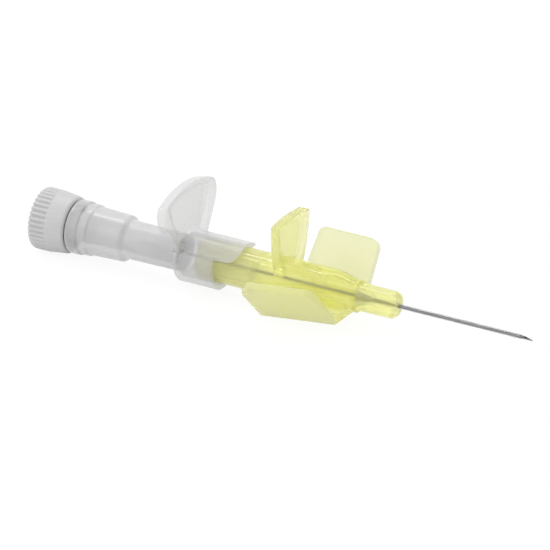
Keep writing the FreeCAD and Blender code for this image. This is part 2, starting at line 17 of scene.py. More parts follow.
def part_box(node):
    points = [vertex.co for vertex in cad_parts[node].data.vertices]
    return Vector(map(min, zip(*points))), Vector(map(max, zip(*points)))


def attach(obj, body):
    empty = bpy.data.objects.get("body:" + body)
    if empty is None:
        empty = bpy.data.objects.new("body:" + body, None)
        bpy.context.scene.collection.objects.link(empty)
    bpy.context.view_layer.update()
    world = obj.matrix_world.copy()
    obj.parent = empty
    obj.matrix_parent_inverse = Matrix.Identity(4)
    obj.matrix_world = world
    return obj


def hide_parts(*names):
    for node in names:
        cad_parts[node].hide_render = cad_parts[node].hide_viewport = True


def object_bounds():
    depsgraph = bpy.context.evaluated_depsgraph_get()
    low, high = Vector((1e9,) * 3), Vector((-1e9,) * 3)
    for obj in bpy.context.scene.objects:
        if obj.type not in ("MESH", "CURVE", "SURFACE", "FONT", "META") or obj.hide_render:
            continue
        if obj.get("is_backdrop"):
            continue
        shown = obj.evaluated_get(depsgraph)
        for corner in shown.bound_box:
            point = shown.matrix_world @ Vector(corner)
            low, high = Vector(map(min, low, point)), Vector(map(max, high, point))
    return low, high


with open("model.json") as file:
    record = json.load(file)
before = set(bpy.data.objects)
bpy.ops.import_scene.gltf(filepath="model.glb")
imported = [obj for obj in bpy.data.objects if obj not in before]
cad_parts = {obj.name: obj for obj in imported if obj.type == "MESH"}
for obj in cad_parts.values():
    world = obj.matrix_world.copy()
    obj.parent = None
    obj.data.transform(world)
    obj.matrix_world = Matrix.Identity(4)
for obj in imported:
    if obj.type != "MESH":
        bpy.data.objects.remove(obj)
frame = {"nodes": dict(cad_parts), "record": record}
cad_low, cad_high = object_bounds()
MM = 0.001
print("frame box in mm:", [round(value / MM, 2) for value in (*cad_low, *cad_high)])

# %% [markdown]
# ## The camera
# The photograph was taken from the needle side, a little above the object, and from so far away that
# parallel edges stay parallel. A very long lens gives that look. The three directions below are the
# picture's right, up and the way back to the camera, found from the axis and the two upright tabs in
# the photograph.

# %% Directions of the picture
PICTURE_WIDTH = 74.83 * MM
LENS = 1000.0
SENSOR = 36.0
view_right = Vector((0.8757, 0.4818, 0.0290)).normalized()
view_up = Vector((-0.2245, 0.3406, 0.9160))
view_up = (view_up - view_up.dot(view_right) * view_right).normalized()
view_back = view_right.cross(view_up)
PICTURE_CENTRE = (-16.9 * MM, 4.25 * MM)
target = view_right * PICTURE_CENTRE[0] + view_up * PICTURE_CENTRE[1]
distance = PICTURE_WIDTH * LENS / SENSOR
print("picture is", round(PICTURE_WIDTH / MM, 2), "mm wide")
print("the camera's direction is", [round(part, 3) for part in view_back])

# %% Camera
camera_data = bpy.data.cameras.new("long_lens")
camera_data.lens = LENS
camera_data.sensor_width = SENSOR
camera_data.clip_start = 0.1
camera_data.clip_end = 20.0
camera = bpy.data.objects.new("camera", camera_data)
bpy.context.scene.collection.objects.link(camera)
turn = Matrix((view_right, view_up, view_back)).transposed().to_4x4()
camera.matrix_world = Matrix.Translation(target + view_back * distance) @ turn
bpy.context.scene.camera = camera
print("camera", round(distance, 3), "m away")

# %% [markdown]
# ## Floor and light
# The object lies on a white table in a white room. A brighter lamp could make the table white, but it
# would wash out the pale plastics too. So the room and the table look white only to the rays that see
# them: straight from the camera, in a reflection or through plastic. Matt surfaces are lit by a dimmer
# room, so that a colour renders about as it is written, and the table keeps a faint shadow.

# %% World
ROOM_LIGHT = 0.68
ROOM_SEEN = 1.0


def seen_directly(tree):
    """A mask that is 1 for what the camera sees directly, mirrored or through plastic."""
    path = tree.nodes.new("ShaderNodeLightPath")
    first = tree.nodes.new("ShaderNodeMath")
    first.operation = "MAXIMUM"
    second = tree.nodes.new("ShaderNodeMath")
    second.operation = "MAXIMUM"
    tree.links.new(path.outputs["Is Camera Ray"], first.inputs[0])
    tree.links.new(path.outputs["Is Glossy Ray"], first.inputs[1])
    tree.links.new(first.outputs[0], second.inputs[0])
    tree.links.new(path.outputs["Is Transmission Ray"], second.inputs[1])
    return second.outputs[0]


world = bpy.data.worlds.new("white_room")
bpy.context.scene.world = world
world.use_nodes = True
tree = world.node_tree
tree.nodes.clear()
dim = tree.nodes.new("ShaderNodeBackground")
dim.inputs["Color"].default_value = (1, 1, 1, 1)
dim.inputs["Strength"].default_value = ROOM_LIGHT
bright = tree.nodes.new("ShaderNodeBackground")
bright.inputs["Color"].default_value = (1, 1, 1, 1)
bright.inputs["Strength"].default_value = ROOM_SEEN
mix = tree.nodes.new("ShaderNodeMixShader")
out = tree.nodes.new("ShaderNodeOutputWorld")
tree.links.new(seen_directly(tree), mix.inputs["Fac"])
tree.links.new(dim.outputs[0], mix.inputs[1])
tree.links.new(bright.outputs[0], mix.inputs[2])
tree.links.new(mix.outputs[0], out.inputs["Surface"])
print("room lights with", ROOM_LIGHT, "and is seen as", ROOM_SEEN)

# %% Floor
FLOOR_GLOW = 0.9
FLOOR_SHADE = 0.14
FLOOR_BOUNCE = 0.8
bpy.ops.object.select_all(action="DESELECT")
bpy.ops.mesh.primitive_plane_add(size=6.0, location=(0, 0, cad_low.z - 0.01 * MM))
floor = bpy.context.object
floor.name = "floor"
floor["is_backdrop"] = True
material = bpy.data.materials.new("white_table")
material.use_nodes = True
tree = material.node_tree
tree.nodes.clear()
bounce = tree.nodes.new("ShaderNodeBsdfDiffuse")
bounce.inputs["Color"].default_value = (FLOOR_BOUNCE, FLOOR_BOUNCE, FLOOR_BOUNCE, 1)
glow = tree.nodes.new("ShaderNodeEmission")
glow.inputs["Strength"].default_value = FLOOR_GLOW
shade = tree.nodes.new("ShaderNodeBsdfDiffuse")
shade.inputs["Color"].default_value = (FLOOR_SHADE, FLOOR_SHADE, FLOOR_SHADE, 1)
seen = tree.nodes.new("ShaderNodeAddShader")
mix = tree.nodes.new("ShaderNodeMixShader")
out = tree.nodes.new("ShaderNodeOutputMaterial")
tree.links.new(glow.outputs[0], seen.inputs[0])
tree.links.new(shade.outputs[0], seen.inputs[1])
tree.links.new(seen_directly(tree), mix.inputs["Fac"])
tree.links.new(bounce.outputs[0], mix.inputs[1])
tree.links.new(seen.outputs[0], mix.inputs[2])
tree.links.new(mix.outputs[0], out.inputs["Surface"])
floor.data.materials.append(material)
print("floor lies at", round(floor.location.z / MM, 2), "mm")

# %% [markdown]
# ### Lamps
# A milky moulding needs soft light, and a glossy one needs something to mirror. A wide lamp on the left
# of the camera's side lights the flanks. A long narrow lamp hangs overhead: its reflection draws the
# thin bright line that runs along each round moulding.

# %% Lamps
def hang_lamp(name, size, energy, place):
    """A rectangular lamp that shines at the hub."""
    data = bpy.data.lights.new(name, "AREA")
    data.shape = "RECTANGLE"
    data.size, data.size_y = size
    data.energy = energy
    lamp = bpy.data.objects.new(name, data)
    bpy.context.scene.collection.objects.link(lamp)
    lamp.location = place
    lamp.rotation_mode = "QUATERNION"
    lamp.rotation_quaternion = (lamp.location - Vector((-0.02, 0, 0))).to_track_quat("Z", "Y")


hang_lamp("wide_lamp", (0.5, 0.3), 0.4, (-0.30, -0.30, 0.26))
hang_lamp("strip_lamp", (0.6, 0.06), 0.6, (-0.18, 0.16, 0.43))
print(len(bpy.data.lights), "lamps")

bpy.context.scene.view_settings.view_transform = "Standard"

# %% [markdown]
# ## Finishes
# All plastics here come out of a polished or lightly etched steel mould. Seen close, such a skin is
# never perfectly even: its gloss drifts over a few millimetres and it has a very faint waviness where
# the plastic shrank. A picture could carry that, but it would need unwrapped pieces and would blur up
# close. One node group makes both from two noises on Object coordinates instead, and each material
# gives it its own values.

# %% Sockets of the skin
def socket(group, name, kind, way, default=None):
    """Give a node group an input or an output."""
    made = group.interface.new_socket(name=name, in_out=way, socket_type=kind)
    if default is not None:
        made.default_value = default
    return made


skin_group = bpy.data.node_groups.new("moulded_skin", "ShaderNodeTree")
socket(skin_group, "Colour", "NodeSocketColor", "INPUT", (1, 1, 1, 1))
socket(skin_group, "Haze Colour", "NodeSocketColor", "INPUT", (1, 1, 1, 1))
socket(skin_group, "Roughness", "NodeSocketFloat", "INPUT", 0.2)
socket(skin_group, "Roughness Spread", "NodeSocketFloat", "INPUT", 0.1)
socket(skin_group, "Patch Scale", "NodeSocketFloat", "INPUT", 450.0)
socket(skin_group, "Grain Scale", "NodeSocketFloat", "INPUT", 6000.0)
socket(skin_group, "Grain", "NodeSocketFloat", "INPUT", 0.2)
socket(skin_group, "Colour", "NodeSocketColor", "OUTPUT")
socket(skin_group, "Roughness", "NodeSocketFloat", "OUTPUT")
socket(skin_group, "Height", "NodeSocketFloat", "OUTPUT")
print("skin group has", len(skin_group.interface.items_tree), "sockets")

# %% Nodes of the skin
def wire_skin(group):
    """Patches shift colour and gloss, and patches and grain together give the height."""
    nodes, links = group.nodes, group.links
    given = nodes.new("NodeGroupInput")
    result = nodes.new("NodeGroupOutput")
    place = nodes.new("ShaderNodeTexCoord")
    patches = nodes.new("ShaderNodeTexNoise")
    patches.inputs["Detail"].default_value = 2.0
    grain = nodes.new("ShaderNodeTexNoise")
    grain.inputs["Detail"].default_value = 1.0
    for noise, scale in ((patches, "Patch Scale"), (grain, "Grain Scale")):
        links.new(place.outputs["Object"], noise.inputs["Vector"])
        links.new(given.outputs[scale], noise.inputs["Scale"])
    tone = nodes.new("ShaderNodeMix")
    tone.data_type = "RGBA"
    links.new(patches.outputs["Fac"], tone.inputs["Factor"])
    links.new(given.outputs["Colour"], tone.inputs["A"])
    links.new(given.outputs["Haze Colour"], tone.inputs["B"])
    links.new(tone.outputs["Result"], result.inputs["Colour"])
    drift = nodes.new("ShaderNodeMath")
    drift.operation = "MULTIPLY_ADD"
    links.new(patches.outputs["Fac"], drift.inputs[0])
    links.new(given.outputs["Roughness Spread"], drift.inputs[1])
    links.new(given.outputs["Roughness"], drift.inputs[2])
    links.new(drift.outputs[0], result.inputs["Roughness"])
    height = nodes.new("ShaderNodeMath")
    height.operation = "MULTIPLY_ADD"
    links.new(grain.outputs["Fac"], height.inputs[0])
    links.new(given.outputs["Grain"], height.inputs[1])
    links.new(patches.outputs["Fac"], height.inputs[2])
    links.new(height.outputs[0], result.inputs["Height"])


wire_skin(skin_group)
print("skin group has", len(skin_group.nodes), "nodes")

# %% [markdown]
# ### Plastics
# Polypropylene and its relatives are neither clear nor white: part of the light goes through, the rest
# is scattered in the wall. Glass with a rough surface would trap light and get dark edges, where these
# mouldings get pale ones. So the milky pieces have a veil: an Alpha that lets part of the view straight
# through and thickens where the surface turns edge-on. The hub is thicker and glossier, so it also
# bends light by Transmission, and the clear tube has Transmission alone. In the yellow pieces an
# absorbing volume deepens the colour where light crosses more plastic.

# %% Colours
def linear(red, green, blue):
    """A colour given as 0 to 255 on a screen, as the light it stands for."""
    return tuple((part / 255) ** 2.2 for part in (red, green, blue)) + (1,)


print("a screen grey of 128 stands for", round(linear(128, 128, 128)[0], 3), "of the light")

# %% A moulded plastic
def moulded(name, colour, haze, see_through, roughness, spread=0.1, cover=(1, 1), grain=0.2,
            bump=0.000003, absorbed=None):
    """A plastic. See-through is the share bent as by glass, cover the veil face-on and edge-on."""
    material = bpy.data.materials.new(name)
    material.use_nodes = True
    nodes, links = material.node_tree.nodes, material.node_tree.links
    shader = nodes["Principled BSDF"]
    shader.inputs["Transmission Weight"].default_value = see_through
    shader.inputs["IOR"].default_value = 1.46
    shader.inputs["Specular IOR Level"].default_value = 0.8
    if cover != (1, 1):
        facing = nodes.new("ShaderNodeLayerWeight")
        facing.inputs["Blend"].default_value = 0.35
        veil = nodes.new("ShaderNodeMapRange")
        veil.inputs["To Min"].default_value = cover[0]
        veil.inputs["To Max"].default_value = cover[1]
        links.new(facing.outputs["Facing"], veil.inputs["Value"])
        links.new(veil.outputs[0], shader.inputs["Alpha"])
    skin = nodes.new("ShaderNodeGroup")
    skin.node_tree = skin_group
    skin.inputs["Colour"].default_value = colour
    skin.inputs["Haze Colour"].default_value = haze
    skin.inputs["Roughness"].default_value = roughness
    skin.inputs["Roughness Spread"].default_value = spread
    skin.inputs["Grain"].default_value = grain
    bump_node = nodes.new("ShaderNodeBump")
    bump_node.inputs["Strength"].default_value = 1.0
    bump_node.inputs["Distance"].default_value = bump
    links.new(skin.outputs["Colour"], shader.inputs["Base Color"])
    links.new(skin.outputs["Roughness"], shader.inputs["Roughness"])
    links.new(skin.outputs["Height"], bump_node.inputs["Height"])
    links.new(bump_node.outputs["Normal"], shader.inputs["Normal"])
    if absorbed:
        inside = nodes.new("ShaderNodeVolumeAbsorption")
        inside.inputs["Color"].default_value = absorbed[0]
        inside.inputs["Density"].default_value = absorbed[1]
        links.new(inside.outputs[0], nodes["Material Output"].inputs["Volume"])
    return material


# %% The plastics of this cannula
YELLOW_INSIDE = (linear(254, 254, 60), 150)
hub_plastic = moulded("yellow_moulding", linear(253, 252, 184), linear(254, 254, 200), 0.68, 0.03, 0.05,
                      cover=(0.60, 0.88), absorbed=YELLOW_INSIDE)
wing_plastic = moulded("yellow_wing", linear(250, 250, 194), linear(253, 253, 206), 0.0, 0.16, 0.1,
                       cover=(0.40, 0.72), absorbed=YELLOW_INSIDE)
grip_plastic = moulded("clear_moulding", linear(228, 228, 231), linear(236, 236, 238), 0.0, 0.10, 0.1,
                       cover=(0.28, 0.62))
chamber_plastic = moulded("clear_chamber_wall", linear(227, 227, 229), linear(235, 235, 236), 0.0, 0.14,
                          0.1, cover=(0.52, 0.84))
cap_plastic = moulded("white_cap", linear(210, 210, 211), linear(218, 218, 219), 0.0, 0.38, 0.12,
                      grain=0.5)
tube_plastic = moulded("tube_wall", linear(235, 235, 236), linear(245, 245, 245), 0.92, 0.05, 0.05,
                       bump=0.000001)
filter_plastic = moulded("porous_filter", linear(232, 232, 228), linear(214, 214, 210), 0.0, 0.75, 0.2,
                         grain=2.0)
print(len(bpy.data.materials), "materials so far")

# %% [markdown]
# ### Steel
# The needle is drawn stainless steel: fine scratches run along it from the die. They could be cut into
# the mesh, but they are a few hundredths of a millimetre wide, so they are a noise that a Mapping node
# stretches along X. It changes the tone, the gloss and the height together, because a scratch is all
# three.

# %% A drawn steel
def drawn_steel(name, tone, worn, roughness):
    """Steel in two tones, with scratches that run along X."""
    material = bpy.data.materials.new(name)
    material.use_nodes = True
    nodes, links = material.node_tree.nodes, material.node_tree.links
    shader = nodes["Principled BSDF"]
    shader.inputs["Metallic"].default_value = 1.0
    place = nodes.new("ShaderNodeTexCoord")
    stretch = nodes.new("ShaderNodeMapping")
    stretch.inputs["Scale"].default_value = (0.02, 1.0, 1.0)
    scratches = nodes.new("ShaderNodeTexNoise")
    scratches.inputs["Scale"].default_value = 16000.0
    scratches.inputs["Detail"].default_value = 3.0
    tone_mix = nodes.new("ShaderNodeMix")
    tone_mix.data_type = "RGBA"
    tone_mix.inputs["A"].default_value = tone
    tone_mix.inputs["B"].default_value = worn
    gloss = nodes.new("ShaderNodeMath")
    gloss.operation = "MULTIPLY_ADD"
    gloss.inputs[1].default_value = 0.16
    gloss.inputs[2].default_value = roughness
    bump_node = nodes.new("ShaderNodeBump")
    bump_node.inputs["Distance"].default_value = 0.000003
    links.new(place.outputs["Object"], stretch.inputs["Vector"])
    links.new(stretch.outputs["Vector"], scratches.inputs["Vector"])
    links.new(scratches.outputs["Fac"], tone_mix.inputs["Factor"])
    links.new(scratches.outputs["Fac"], gloss.inputs[0])
    links.new(scratches.outputs["Fac"], bump_node.inputs["Height"])
    links.new(tone_mix.outputs["Result"], shader.inputs["Base Color"])
    links.new(gloss.outputs[0], shader.inputs["Roughness"])
    links.new(bump_node.outputs["Normal"], shader.inputs["Normal"])
    return material


# %% The steels of this cannula
# The needle's two steel tones are kept dark. That darkness is a painted reflection of surroundings
# darker than this white room; the scratches that vary the tones are real.
needle_steel = drawn_steel("needle_steel", linear(96, 96, 100), linear(132, 132, 136), 0.16)
ferrule_steel = drawn_steel("ferrule_steel", linear(150, 150, 154), linear(176, 176, 180), 0.22)
print(len(bpy.data.materials), "materials so far")

# %% [markdown]
# ## Shaping tools
# The real mouldings are turned shapes with plates and sleeves joined to them. Each is modelled the way
# one would do it by hand: a small plane is merged to one vertex, an outline is drawn by extruding it
# from point to point, its corners are rounded, and it is spun round the axis or extruded to a plate.
# Selections are made by place, because there is no mouse here.

# %% Opening and selecting
def only(piece):
    """Make one piece the only selected and active object."""
    if bpy.context.object and bpy.context.object.mode != "OBJECT":
        bpy.ops.object.mode_set(mode="OBJECT")
    bpy.ops.object.select_all(action="DESELECT")
    piece.select_set(True)
    bpy.context.view_layer.objects.active = piece


def edit(piece):
    """Open a piece in edit mode with all of it selected."""
    only(piece)
    bpy.ops.object.mode_set(mode="EDIT")
    bpy.ops.mesh.select_mode(type="VERT")
    bpy.ops.mesh.select_all(action="SELECT")


def pick(piece, kind, test):
    """Select the vertices, edges or faces of an open piece that pass a test."""
    bpy.ops.mesh.select_mode(type=kind)
    bpy.ops.mesh.select_all(action="DESELECT")
    mesh = bmesh.from_edit_mesh(piece.data)
    items = {"VERT": mesh.verts, "EDGE": mesh.edges, "FACE": mesh.faces}[kind]
    chosen = [item for item in items if test(item)]
    for item in chosen:
        item.select_set(True)
    mesh.select_flush_mode()
    bmesh.update_edit_mesh(piece.data)
    return len(chosen)


def middle(item):
    """The middle of an edge or face, or the place of a vertex, in millimetres."""
    if hasattr(item, "co"):
        return item.co / MM
    return sum((vertex.co for vertex in item.verts), Vector()) / len(item.verts) / MM


# %% [markdown]
# ### Outlines
# Two kinds of outline make every piece: one that is spun, given as places on the axis and radii, and
# one that is filled and extruded, given as points in space. Rounding a corner of the outline first is
# cleaner than bevelling the finished solid, because the rounded line then has even steps all round.

# %% Arcs
def arc(start, via, end, steps):
    """Points on the arc from start over via to end, both ends included."""
    ax, ay, bx, by, cx, cy = *start, *via, *end
    area = 2 * (ax * (by - cy) + bx * (cy - ay) + cx * (ay - by))
    a_square, b_square, c_square = ax**2 + ay**2, bx**2 + by**2, cx**2 + cy**2
    centre_x = (a_square * (by - cy) + b_square * (cy - ay) + c_square * (ay - by)) / area
    centre_y = (a_square * (cx - bx) + b_square * (ax - cx) + c_square * (bx - ax)) / area
    first, over, last = (math.atan2(y - centre_y, x - centre_x) for x, y in (start, via, end))
    turn = (last - first) % (2 * math.pi)
    if (over - first) % (2 * math.pi) > turn:
        turn -= 2 * math.pi
    radius = math.hypot(ax - centre_x, ay - centre_y)
    points = []
    for step in range(steps + 1):
        angle = first + turn * step / steps
        points.append((centre_x + radius * math.cos(angle), centre_y + radius * math.sin(angle)))
    return points


print("an arc of 8 steps has", len(arc((1, 0), (0, 1), (-1, 0), 8)), "points")

# %% Drawing an outline
SMALL = 1e-7
ROUND_STEPS = 6


def drawn(name, points):
    """Draw a closed line through points in millimetres, by extruding one vertex from point to point."""
    if bpy.context.object and bpy.context.object.mode != "OBJECT":
        bpy.ops.object.mode_set(mode="OBJECT")
    bpy.ops.object.select_all(action="DESELECT")
    bpy.ops.mesh.primitive_plane_add(size=MM, location=(0, 0, 0))
    piece = bpy.context.object
    piece.name = name
    edit(piece)
    bpy.ops.mesh.merge(type="CENTER")
    bpy.ops.transform.translate(value=Vector(points[0]) * MM)
    for before, after in zip(points, points[1:] + points[:1]):
        step = (Vector(after) - Vector(before)) * MM
        bpy.ops.mesh.extrude_region_move(TRANSFORM_OT_translate={"value": step})
    bpy.ops.mesh.select_all(action="SELECT")
    bpy.ops.mesh.remove_doubles(threshold=SMALL)
    return piece


def round_corner(piece, corner, size):
    """Round one corner of an outline, starting this far from the corner."""
    place = Vector(corner)
    pick(piece, "VERT", lambda vertex: (middle(vertex) - place).length < 1e-3)
    bpy.ops.mesh.bevel(offset=size * MM, segments=ROUND_STEPS, affect="VERTICES", clamp_overlap=True)


# %% [markdown]
# ### Turned pieces
# Most forms of this object are round about its axis, and a screw modifier or a spin could turn an
# outline into them. The spin leaves a mesh that can be cut and selected at once. It may also leave
# doubles on its seam, faces that shrank to nothing on the axis, and normals that point inwards, so all
# three are mended here.

# %% Turned pieces
SPIN_STEPS = 96


def turned(name, outline, steps=SPIN_STEPS):
    """Spin an outline of (place on the axis, radius, rounding) once round X."""
    piece = drawn(name, [(corner[0], 0, corner[1]) for corner in outline])
    for corner in outline:
        if len(corner) == 3:
            round_corner(piece, (corner[0], 0, corner[1]), corner[2])
    bpy.ops.mesh.select_all(action="SELECT")
    bpy.ops.mesh.spin(steps=steps, angle=2 * math.pi, use_auto_merge=True, center=(0, 0, 0),
                      axis=(1, 0, 0))
    bpy.ops.mesh.select_all(action="SELECT")
    bpy.ops.mesh.remove_doubles(threshold=SMALL)
    bpy.ops.mesh.dissolve_degenerate(threshold=SMALL)
    bpy.ops.mesh.select_all(action="SELECT")
    bpy.ops.mesh.delete_loose(use_verts=True, use_edges=True, use_faces=False)
    bpy.ops.mesh.select_all(action="SELECT")
    bpy.ops.mesh.normals_make_consistent(inside=False)
    bpy.ops.object.mode_set(mode="OBJECT")
    return piece


# %% [markdown]
# ### Plates
# Tabs, wings and half sleeves have the same section all through. A cube could be cut to such a shape,
# but an outline that is filled with one face and extruded has its corners where they are wanted from
# the start.

# %% Plates
def plate(name, points, thickness, rounds=()):
    """Fill an outline and extrude it by a vector in millimetres."""
    piece = drawn(name, points)
    for corner, size in rounds:
        round_corner(piece, corner, size)
    bpy.ops.mesh.select_all(action="SELECT")
    bpy.ops.mesh.edge_face_add()
    bpy.ops.mesh.extrude_region_move(TRANSFORM_OT_translate={"value": Vector(thickness) * MM})
    bpy.ops.mesh.select_all(action="SELECT")
    bpy.ops.mesh.normals_make_consistent(inside=False)
    bpy.ops.object.mode_set(mode="OBJECT")
    return piece


# %% [markdown]
# ### Joining
# Forms that overlap are joined or cut by exact booleans, which leave closed solids. A remesh would do
# it too, but it would round the thin rims away. Each cut can leave doubles or faces without area, so
# they are merged after it.

# %% Joining
def combine(piece, others, operation="UNION"):
    """Join other solids to a piece, cut them from it, or keep only what it shares with them."""
    only(piece)
    for other in others:
        modifier = piece.modifiers.new(operation.lower(), "BOOLEAN")
        modifier.operation = operation
        modifier.solver = "EXACT"
        modifier.object = other
        bpy.ops.object.modifier_apply(modifier=modifier.name)
        bpy.data.objects.remove(other)
    edit(piece)
    bpy.ops.mesh.remove_doubles(threshold=SMALL * 10)
    bpy.ops.mesh.dissolve_degenerate(threshold=SMALL * 10)
    bpy.ops.object.mode_set(mode="OBJECT")


# %% [markdown]
# ### Finished pieces
# Smooth shading hides the facets of the round forms, and weighted normals keep flat faces flat next to
# the small bevels. A bevel with many segments would do that too, at many more faces. A closed solid has
# no open edges, so they are counted. Then the piece rides on a body, so that it moves with its joint,
# and stands for its CAD node.

# %% Finished pieces
def finish_mesh(piece):
    """Shade a mesh smooth with its flat faces flat, and print what it has become."""
    only(piece)
    bpy.ops.object.shade_smooth_by_angle(angle=math.radians(30))
    modifier = piece.modifiers.new("flat_faces", "WEIGHTED_NORMAL")
    modifier.keep_sharp = True
    bpy.ops.object.modifier_apply(modifier=modifier.name)
    mesh = bmesh.new()
    mesh.from_mesh(piece.data)
    open_edges = sum(1 for edge in mesh.edges if not edge.is_manifold)
    volume = mesh.calc_volume(signed=True) / MM**3
    triangles = sum(len(face.verts) - 2 for face in mesh.faces)
    mesh.free()
    print(piece.name, triangles, "triangles,", open_edges, "open edges,", round(volume, 2), "mm3")


def stands_for(piece, node, body, material):
    """Let a finished piece take the place of a node of the frame."""
    finish_mesh(piece)
    piece.data.materials.clear()
    piece.data.materials.append(material)
    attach(piece, body)
    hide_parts(node)


# %% [markdown]
# ## The flashback chamber
# This clear moulding fills with blood when the needle has found the vein. It is a body of round steps:
# a neck, a wider cylinder, a collar and a flange, with the conical socket for the cap behind. It could
# be stacked from cylinders, but a spun outline gives every step its own soft corner. Two small lugs,
# which a locking cap turns on, are plates joined to it.

# %% Flash chamber
CHAMBER_FRONT = -33.32
CHAMBER_BORE = 1.82
FLANGE_REAR = -50.4
CHAMBER_REAR = -54.1
SOCKET_END = -46.7
SOCKET_RADIUS = 2.14
flash_chamber = turned("clear_chamber", [
    (CHAMBER_FRONT, CHAMBER_BORE), (CHAMBER_FRONT, 2.63, 0.12), (-41.8, 2.71, 0.3), (-42.1, 3.25, 0.3),
    (-47.1, 3.42, 0.12), (-47.3, 3.6, 0.12), (-48.3, 3.62, 0.12), (-48.45, 3.5, 0.1), (-48.6, 3.5, 0.1),
    (-48.75, 3.78, 0.12), (FLANGE_REAR, 3.78, 0.3), (FLANGE_REAR, 2.95, 0.2), (CHAMBER_REAR, 2.95, 0.15),
    (CHAMBER_REAR, SOCKET_RADIUS, 0.1), (SOCKET_END, 1.92, 0.05), (SOCKET_END, CHAMBER_BORE),
])
lugs = []
for side in (1, -1):
    rim = arc((side * 3.11, -1.1), (side * 3.3, 0), (side * 3.11, 1.1), 8)
    inside = [(side * 2.5, 1.1), (side * 2.5, -1.1)]
    lugs.append(plate("lug", [(CHAMBER_REAR, y, z) for y, z in rim + inside], (1.0, 0, 0)))
combine(flash_chamber, lugs)
stands_for(flash_chamber, "flash_chamber", "needle_unit", chamber_plastic)

# %% [markdown]
# ## The cap
# A white cap with 36 soft grooves round its grip band, and a plug that reaches into the chamber's
# socket. Cutting 36 grooves by booleans would be slow and leave hard edges. Here the outline is spun
# with ten steps for each rib, and then the steps that lie in a groove are scaled towards the axis, one
# step of all grooves at a time, the middle step the furthest. A small hole in the end face lets the air
# out.

# %% Cap
RIBS = 36
RIB_STEPS = 10
CAP_RADIUS = 4.34
# The depth of a groove at each of these steps of a rib.
GROOVE = {2: 0.04, 3: 0.16, 4: 0.29, 5: 0.34, 6: 0.29, 7: 0.16, 8: 0.04}
BAND_INSIDE = 3.9
CAP_FRONT = -50.6
CAP_REAR = -55.9
BAND_FRONT = -53.5
CAP_FLOOR = -54.7
CAP_PLUG_FRONT = -48.1
FILTER_SEAT = -51.8
luer_cap = turned("ribbed_cap", [
    (CAP_FRONT, 3.4, 0.1), (CAP_FRONT, 3.98, 0.38), (BAND_FRONT + 0.25, 4.3), (BAND_FRONT, CAP_RADIUS),
    (-54.1, CAP_RADIUS), (-54.9, CAP_RADIUS), (CAP_REAR, CAP_RADIUS, 0.4), (CAP_REAR, 0.45, 0.1),
    (FILTER_SEAT, 0.45), (FILTER_SEAT, 1.12), (CAP_PLUG_FRONT, 1.12), (CAP_PLUG_FRONT, 2.02, 0.25),
    (CAP_FLOOR, 2.108), (CAP_FLOOR, 3.5),
], steps=RIBS * RIB_STEPS)
edit(luer_cap)
for step, depth in GROOVE.items():
    def in_groove(vertex, step=step):
        """Tell if a vertex of the band lies on this step of a rib."""
        place = middle(vertex)
        turn = math.atan2(place.z, place.y) / (2 * math.pi) * RIBS * RIB_STEPS
        return (
            place.x < BAND_FRONT + 0.01 and math.hypot(place.y, place.z) > BAND_INSIDE
            and round(turn) % RIB_STEPS == step
        )
    print("groove step", step, "moves", pick(luer_cap, "VERT", in_groove), "vertices")
    share = 1 - depth / CAP_RADIUS
    bpy.ops.transform.resize(value=(1, share, share), center_override=(0, 0, 0))
bpy.ops.object.mode_set(mode="OBJECT")
stands_for(luer_cap, "luer_cap", "cap", cap_plastic)

# %% [markdown]
# ## The needle grip
# One clear moulding that holds the needle and is pulled back by the thumb. It has four forms: a turned
# core with the conical plug that sits in the hub, a trough and a longer arch round the hub, and the
# thumb tab that leans back. Pulling all of it out of one block of faces would be hard to keep round, so
# each form is drawn as its own outline, and they are joined as solids. The arch's free end is cut by a
# slope that rises in a soft step.

# %% Turned core
GRIP_WALL_FRONT = -32.65
GRIP_REAR = -33.3
SLEEVE_BORE = 3.15
TROUGH_RADIUS = 3.85
ARCH_RADIUS = 3.65
TROUGH_FRONT = -27.2
ARCH_FRONT = -23.6
LEDGE = 1.5
SINK = 0.25
PLUG_FRONT = -22.2
SPIGOT_REAR = -37.7
NEEDLE_SEAT = 0.245
needle_grip = turned("clear_grip", [
    (PLUG_FRONT, NEEDLE_SEAT), (PLUG_FRONT, 1.844, 0.2), (GRIP_WALL_FRONT, 2.158, 0.15),
    (GRIP_WALL_FRONT, TROUGH_RADIUS), (GRIP_REAR, TROUGH_RADIUS, 0.45), (GRIP_REAR, 1.8, 0.1),
    (SPIGOT_REAR, 1.8, 0.25), (SPIGOT_REAR, NEEDLE_SEAT),
])
print("core is", round(PLUG_FRONT - SPIGOT_REAR, 2), "mm long")

# %% [markdown]
# ### Soft edges
# A steel mould has no knife-sharp corners, so every edge that meets the eye gets a small bevel. A bevel
# modifier could find the edges by their angle, but it would round the joints of two forms as well. So
# the edges are picked by angle and by place.

# %% Soft edges
def is_sharp(edge, degrees=28):
    """Tell if the faces at an edge meet at more than this angle."""
    return edge.is_manifold and edge.calc_face_angle(0) > math.radians(degrees)


def soften(piece, size, test, segments=3):
    """Round the sharp edges of a solid that pass a test."""
    edit(piece)
    count = pick(piece, "EDGE", lambda edge: is_sharp(edge) and test(edge))
    bpy.ops.mesh.bevel(offset=size * MM, segments=segments, affect="EDGES", clamp_overlap=True)
    bpy.ops.object.mode_set(mode="OBJECT")
    return count


# %% Trough and arch
def shell_outline(radius, ledge, way, place):
    """The section of a half sleeve: an outer arc and an inner arc that end at a ledge."""
    outer = math.sqrt(radius**2 - ledge**2)
    inner = math.sqrt(SLEEVE_BORE**2 - ledge**2)
    line = arc((-outer, ledge), (0, way * radius), (outer, ledge), 56)
    line += arc((inner, ledge), (0, way * SLEEVE_BORE), (-inner, ledge), 56)
    return [(place, y, z) for y, z in line]


